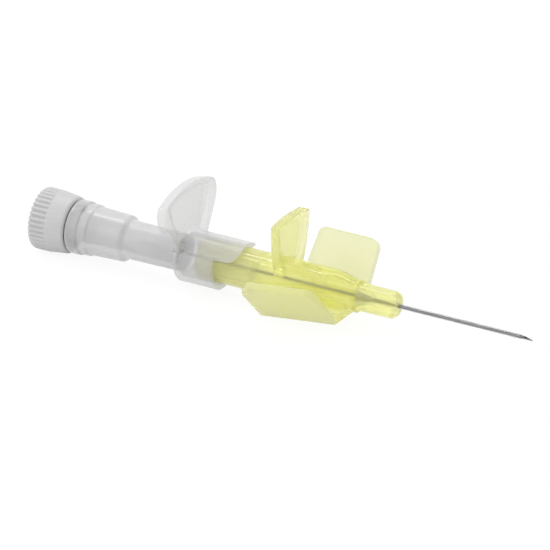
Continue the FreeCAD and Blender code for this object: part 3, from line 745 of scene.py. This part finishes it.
trough = plate("trough", shell_outline(TROUGH_RADIUS - 0.002, LEDGE, -1, GRIP_WALL_FRONT - SINK),
               (TROUGH_FRONT - GRIP_WALL_FRONT + SINK, 0, 0))
arch = plate("arch", shell_outline(ARCH_RADIUS, LEDGE - SINK, 1, GRIP_WALL_FRONT - SINK),
             (ARCH_FRONT - GRIP_WALL_FRONT + SINK, 0, 0))
soften(trough, 0.14, lambda edge: middle(edge).x > GRIP_WALL_FRONT + 0.1)
slope = plate("slope", [
    (TROUGH_FRONT, -6, 0), (TROUGH_FRONT, -6, 1.55), (ARCH_FRONT - 0.8, -6, 1.7),
    (ARCH_FRONT - 0.1, -6, 2.7), (ARCH_FRONT, -6, 3.9), (ARCH_FRONT + 0.5, -6, 3.9),
    (ARCH_FRONT + 0.5, -6, 0),
], (0, 12, 0), rounds=[((ARCH_FRONT - 0.8, -6, 1.7), 0.6), ((ARCH_FRONT - 0.1, -6, 2.7), 0.4)])
combine(arch, [slope], "DIFFERENCE")
soften(arch, 0.12, lambda edge: middle(edge).x > GRIP_WALL_FRONT + 0.1)
print("trough is", round(TROUGH_FRONT - GRIP_WALL_FRONT, 2), "mm long, arch",
      round(ARCH_FRONT - GRIP_WALL_FRONT, 2), "mm")

# %% [markdown]
# ### Thumb tab
# A plate with a high arched top and a shallow hollow in its front face, whose walls slant outwards. It
# is drawn upright, hollowed, softened all round and only then leaned back, because an upright plate is
# easy to measure. A small turned ring, cut off below, makes the rounded foot between the hollow and the
# arch.

# %% Turning a piece
def turn_over(piece, degrees, axis, centre):
    """Turn all of a piece about an axis through a point, counter-clockwise as seen against the axis."""
    edit(piece)
    # With no window, the operator turns the other way round.
    counted_back = -math.radians(degrees)
    bpy.ops.transform.rotate(value=counted_back, orient_axis=axis, center_override=Vector(centre) * MM)
    bpy.ops.object.mode_set(mode="OBJECT")


# %% Thumb tab
THUMB_LEAN = 6.8
THUMB_PLACE = -33.079
THUMB_THICKNESS = 1.3
plus_side = [(3.3, 1.0), (7.35, 6.6), (7.25, 7.9), (6.95, 8.8)]
crown = arc((6.95, 8.8), (0, 10.3), (-6.95, 8.8), 24)[1:-1]
minus_side = [(-y, z) for y, z in reversed(plus_side)]
thumb_tab = plate("thumb_tab", [(THUMB_PLACE, y, z) for y, z in plus_side + crown + minus_side],
                  (THUMB_THICKNESS, 0, 0), rounds=[
                      ((THUMB_PLACE, side * y, z), size) for side in (1, -1)
                      for y, z, size in ((7.35, 6.6, 1.0), (6.95, 8.8, 0.5))])
print("thumb tab reaches", round(max(z for _, z in crown), 2), "mm above the axis")

# %% Hollow of the thumb tab
recess_floor = THUMB_PLACE + 0.5
plus_side = [(3.0, 2.6), (4.9, 7.2), (4.9, 8.2)]
crown = arc((4.85, 8.6), (0, 9.3), (-4.85, 8.6), 24)
minus_side = [(-y, z) for y, z in reversed(plus_side)]
recess = plate("recess", [(recess_floor, y, z) for y, z in plus_side + crown + minus_side],
               (2, 0, 0), rounds=[
                   ((recess_floor, side * y, z), size) for side in (1, -1)
                   for y, z, size in ((3.0, 2.6, 0.8), (4.9, 7.2, 1.0))])
edit(recess)
pick(recess, "VERT", lambda vertex: middle(vertex).x > recess_floor + 1)
bpy.ops.transform.resize(value=(1, 1.25, 1.12), center_override=Vector((0, 0, 6.4)) * MM)
bpy.ops.object.mode_set(mode="OBJECT")
combine(thumb_tab, [recess], "DIFFERENCE")
soften(thumb_tab, 0.22, lambda edge: True)
turn_over(thumb_tab, -THUMB_LEAN, "Y", (THUMB_PLACE, 0, 0))
print("hollow is", round(THUMB_PLACE + THUMB_THICKNESS - recess_floor, 2), "mm deep")

# %% Foot of the thumb tab, and the whole grip
fillet = arc((-33.1, 4.7), (-32.8, 3.95), (-32.05, 3.64), 8)
foot = turned("thumb_foot", [(-33.2, 3.4), (-33.2, 4.7)] + fillet + [(-32.05, 3.4)])
above = plate("above", [(-34, -5, 1.6), (-31, -5, 1.6), (-31, -5, 6), (-34, -5, 6)], (0, 10, 0))
combine(foot, [above], "INTERSECT")
combine(needle_grip, [trough, arch, thumb_tab, foot])
stands_for(needle_grip, "needle_grip", "needle_unit", grip_plastic)

# %% [markdown]
# ## The hub
# The yellow moulding carries the catheter tube, and its colour tells the gauge. Its outside is turned:
# a round nose, a ring, a cone and the long barrel. The push tab and the wing root are plates. The
# passage narrows in steps from the rear, and it is cut from the joined solid last, so that nothing
# stands in it.

# %% Barrel
HUB_LENGTH = 30.4
catheter_hub = turned("yellow_hub", [
    (0, 0), (0, 1.93, 0.95), (-6.0, 1.97, 0.12), (-6.0, 2.28, 0.1), (-6.5, 2.28, 0.1), (-6.5, 2.12, 0.1),
    (-9.6, 2.9, 0.6), (-HUB_LENGTH, 2.9, 0.25), (-HUB_LENGTH, 0),
])
passage = turned("passage", [
    (0.5, 0), (0.5, 0.37), (-3.4, 0.37), (-6.3, 1.014), (-11.1, 1.05, 0.1),
    (-11.1, 1.3), (-12.8, 1.3, 0.12), (-12.8, 1.6), (-21.4, 1.6, 0.1), (-21.4, 1.87),
    (-HUB_LENGTH, SOCKET_RADIUS), (-HUB_LENGTH - 0.6, 2.158), (-HUB_LENGTH - 0.6, 0),
])
print("hub is", HUB_LENGTH, "mm long")

# %% [markdown]
# ### Push tab
# The finger pushes the catheter forward on this tab. It widens in a curve from its foot to its top, and
# its front is hollowed as the thumb tab's is. Bevelling all its edges at once gives the even rim of a
# moulding.

# %% Push tab
TAB_PLACE = -17.9
TAB_THICKNESS = 1.38
TAB_HEIGHT = 9.1
TAB_CROWN = 0.35
plus_side = arc((2.55, 0.5), (4.05, 5.8), (4.3, TAB_HEIGHT), 12)
crown = arc((4.3, TAB_HEIGHT), (0, TAB_HEIGHT + TAB_CROWN), (-4.3, TAB_HEIGHT), 16)[1:-1]
minus_side = arc((-4.3, TAB_HEIGHT), (-4.05, 5.8), (-2.55, 0.5), 12)
push_tab = plate("push_tab", [(TAB_PLACE, y, z) for y, z in plus_side + crown + minus_side],
                 (TAB_THICKNESS, 0, 0),
                 rounds=[((TAB_PLACE, 4.3, TAB_HEIGHT), 0.5), ((TAB_PLACE, -4.3, TAB_HEIGHT), 0.3)])
print("push tab reaches", round(TAB_HEIGHT + TAB_CROWN, 2), "mm above the axis")

# %% Hollow of the push tab
tab_floor = TAB_PLACE + TAB_THICKNESS - 0.5
plus_side = arc((1.9, 2.5), (3.3, 5.8), (3.5, 8.2), 12)
crown = arc((3.5, 8.2), (0, 8.55), (-3.5, 8.2), 16)[1:-1]
minus_side = arc((-3.5, 8.2), (-3.3, 5.8), (-1.9, 2.5), 12)
tab_recess = plate("tab_recess", [(tab_floor, y, z) for y, z in plus_side + crown + minus_side],
                   (1, 0, 0),
                   rounds=[((tab_floor, 1.9, 2.5), 0.6), ((tab_floor, -1.9, 2.5), 0.6),
                           ((tab_floor, 3.5, 8.2), 0.5), ((tab_floor, -3.5, 8.2), 0.5)])
edit(tab_recess)
pick(tab_recess, "VERT", lambda vertex: middle(vertex).x > tab_floor + 0.5)
bpy.ops.transform.resize(value=(1, 1.18, 1.06), center_override=Vector((0, 0, 5.4)) * MM)
bpy.ops.object.mode_set(mode="OBJECT")
combine(push_tab, [tab_recess], "DIFFERENCE")
soften(push_tab, 0.14, lambda edge: True)
print("hollow is", round(TAB_PLACE + TAB_THICKNESS - tab_floor, 2), "mm deep")

# %% Foot of the push tab
rear_fillet = arc((-18.3, 2.89), (-18.02, 3.01), (-17.9, 3.29), 6)
front_fillet = arc((-17.04, 3.35), (-16.9, 3.03), (-16.54, 2.88), 8)
foot = turned("push_foot", rear_fillet + front_fillet + [(-15.82, 2.6), (-18.6, 2.6)])
above = plate("above", [(-19, -2.75, 1), (-15, -2.75, 1), (-15, -2.75, 4), (-19, -2.75, 4)], (0, 5.5, 0))
combine(foot, [above], "INTERSECT")
print("foot has", len(foot.data.polygons), "faces")

# %% [markdown]
# ### Wing root
# A flat plate under the barrel, pointed behind, widest where the fold lines start and narrower again in
# front, tilted up towards the nose. Along both fold lines a wide bevel thins it to a web. A groove
# could be cut there instead, but a bevel of one edge is simpler.

# %% Wing root
PITCH = 3.5
ROOT_REAR = -24.2
ROOT_DROP = -3.95
ROOT_THICKNESS = 1.2
root_x = [0, 6.0, 16.8]
root_y = [0.3, 5.74, 4.39]
wing_root = plate("wing_root", [(ROOT_REAR + x, -y, ROOT_DROP) for x, y in zip(root_x, root_y)]
                  + [(ROOT_REAR + x, y, ROOT_DROP) for x, y in zip(reversed(root_x), reversed(root_y))],
                  (0, 0, ROOT_THICKNESS))
edit(wing_root)
pick(wing_root, "EDGE", lambda edge: middle(edge).z > ROOT_DROP + 1 and abs(middle(edge).y) > 4.9
     and middle(edge).x > ROOT_REAR + 10)
bpy.ops.mesh.bevel(offset=1.15 * MM, segments=1, affect="EDGES")
bpy.ops.object.mode_set(mode="OBJECT")
soften(wing_root, 0.06, lambda edge: True, segments=2)
turn_over(wing_root, -PITCH, "Y", (ROOT_REAR, 0, ROOT_DROP))
print("wing root is", root_x[-1], "mm long and", 2 * max(root_y), "mm wide")

# %% The whole hub
combine(catheter_hub, [push_tab, foot, wing_root])
combine(catheter_hub, [passage], "DIFFERENCE")
stands_for(catheter_hub, "catheter_hub", "catheter", hub_plastic)

# %% [markdown]
# ## The wings
# The wings are taped to the skin, or folded up as a handle. On the real hub they bend at a moulded
# groove. Here each is a rigid plate that turns about that line. It is drawn flat beside the line, with
# rounded outer corners and soft edges. Then it is folded up by the angle that its joint opens to flat,
# turned in to follow the taper of the root and tilted with it. The angle and the place come from the
# joint, which keeps the piece on its hinge if the CAD changes.

# %% Fold lines
HINGE_START = 6.0
HINGE_REAR_HALF = 5.8
HINGE_FRONT_HALF = 4.45
HINGE_GAP = 0.06
HINGE_WEB = 0.05
hinge_run = root_x[2] - HINGE_START
converge = math.degrees(math.atan((HINGE_REAR_HALF - HINGE_FRONT_HALF) / hinge_run))
hinge_length = math.hypot(HINGE_REAR_HALF - HINGE_FRONT_HALF, hinge_run)
joints = {joint["name"]: joint for joint in frame["record"]["behaviour"]["joints"]}
print("fold line is", round(hinge_length, 2), "mm long and turned in by", round(converge, 2), "degrees")

# %% One wing
WING_WIDTH = 8.8
WING_THICKNESS = 0.9
WING_FRONT_SLANT = 1.1
WING_REAR_SLANT = -0.1


def shaped_wing(name, side, joint):
    """One wing, drawn flat beside its fold line and brought to its joint."""
    rear = (WING_REAR_SLANT, side * WING_WIDTH, 0)
    front = (hinge_length - WING_FRONT_SLANT, side * WING_WIDTH, 0)
    wing = plate(name, [(0, side * HINGE_GAP, 0), rear, front, (hinge_length, side * HINGE_GAP, 0)],
                 (0, 0, WING_THICKNESS), rounds=[(rear, 0.9), (front, 1.3)])
    edit(wing)
    pick(wing, "EDGE", lambda edge: middle(edge).z > WING_THICKNESS - 0.01 and abs(middle(edge).y) < 0.1)
    bpy.ops.mesh.bevel(offset=(WING_THICKNESS - HINGE_WEB) * MM, segments=1, affect="EDGES")
    bpy.ops.object.mode_set(mode="OBJECT")
    soften(wing, 0.16, lambda edge: abs(middle(edge).y) > 1.0)
    turn_over(wing, side * -joint["range_deg"][0], "X", (0, 0, 0))
    turn_over(wing, -side * converge, "Z", (0, 0, 0))
    turn_over(wing, -PITCH, "Y", (0, 0, 0))
    edit(wing)
    bpy.ops.transform.translate(value=joint["pos_m"])
    bpy.ops.object.mode_set(mode="OBJECT")
    return wing


# %% Both wings
left_wing = shaped_wing("left_flap", 1, joints["wing_left_fold"])
right_wing = shaped_wing("right_flap", -1, joints["wing_right_fold"])
stands_for(left_wing, "wing_left", "left_wing", wing_plastic)
stands_for(right_wing, "wing_right", "right_wing", wing_plastic)
for name, piece in (("wing_left", left_wing), ("wing_right", right_wing)):
    low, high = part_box(name)
    corners = [vertex.co for vertex in piece.data.vertices]
    below = [round((min(place[i] for place in corners) - low[i]) / MM, 2) for i in range(3)]
    above = [round((max(place[i] for place in corners) - high[i]) / MM, 2) for i in range(3)]
    print(name, "is off its CAD box, in mm, by", below, above)

# %% [markdown]
# ## The needle and the catheter tube
# Both are thin tubes, spun from narrow outlines like the other turned pieces. The needle's end is
# ground at a slant, so a wedge is cut from its tip. The catheter tube thins at its free end and flares
# in the nose, where the steel ferrule wedges it. A curve with a round section could carry a tube too,
# but not its taper and its flare so simply.

# %% Needle
NEEDLE_RADIUS = 0.225
TIP = 20.6
BEVEL_LENGTH = 1.7
NEEDLE_BORE = 0.15
NEEDLE_REAR = -40.4
needle = turned("steel_needle", [
    (TIP, NEEDLE_BORE), (TIP, NEEDLE_RADIUS), (NEEDLE_REAR, NEEDLE_RADIUS), (NEEDLE_REAR, NEEDLE_BORE),
], steps=48)
grind = plate("grind", [
    (TIP - BEVEL_LENGTH, -1, NEEDLE_RADIUS), (TIP, -1, -NEEDLE_RADIUS), (TIP + 0.5, -1, -NEEDLE_RADIUS),
    (TIP + 0.5, -1, 0.5), (TIP - BEVEL_LENGTH, -1, 0.5),
], (0, 2, 0))
combine(needle, [grind], "DIFFERENCE")
stands_for(needle, "needle", "needle_unit", needle_steel)

# %% Catheter tube
catheter_tube = turned("thin_tube", [
    (18.8, 0.25), (18.8, 0.28, 0.015), (17.8, 0.35, 0.3), (-3.4, 0.35), (-5.2, 0.75),
    (-5.2, 0.65), (-3.4, 0.25),
], steps=64)
stands_for(catheter_tube, "catheter_tube", "catheter", tube_plastic)

# %% [markdown]
# ## Inner pieces
# The ferrule in the nose and the filter in the cap's plug are hidden, and their plain turned shapes are
# right as they are. So they keep their CAD meshes and only get a real finish.

# %% Inner pieces that keep their nodes
def give(node, material):
    """Put a finish on a node of the frame."""
    mesh = frame["nodes"][node].data
    mesh.materials.clear()
    mesh.materials.append(material)


give("tube_ferrule", ferrule_steel)
give("vent_filter", filter_plastic)
print(len(bpy.data.materials), "materials in all")

# %% [markdown]
# ## The end
# The box of the dressed part is set against the CAD model's box, and how far it grew is printed.

# %% Sizes for comparison, and the end
visual_low, visual_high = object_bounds()
boxes = zip((*visual_low, *visual_high), (*cad_low, *cad_high))
print("box grew by, in mm:", [round((visual - cad) / MM, 3) for visual, cad in boxes])
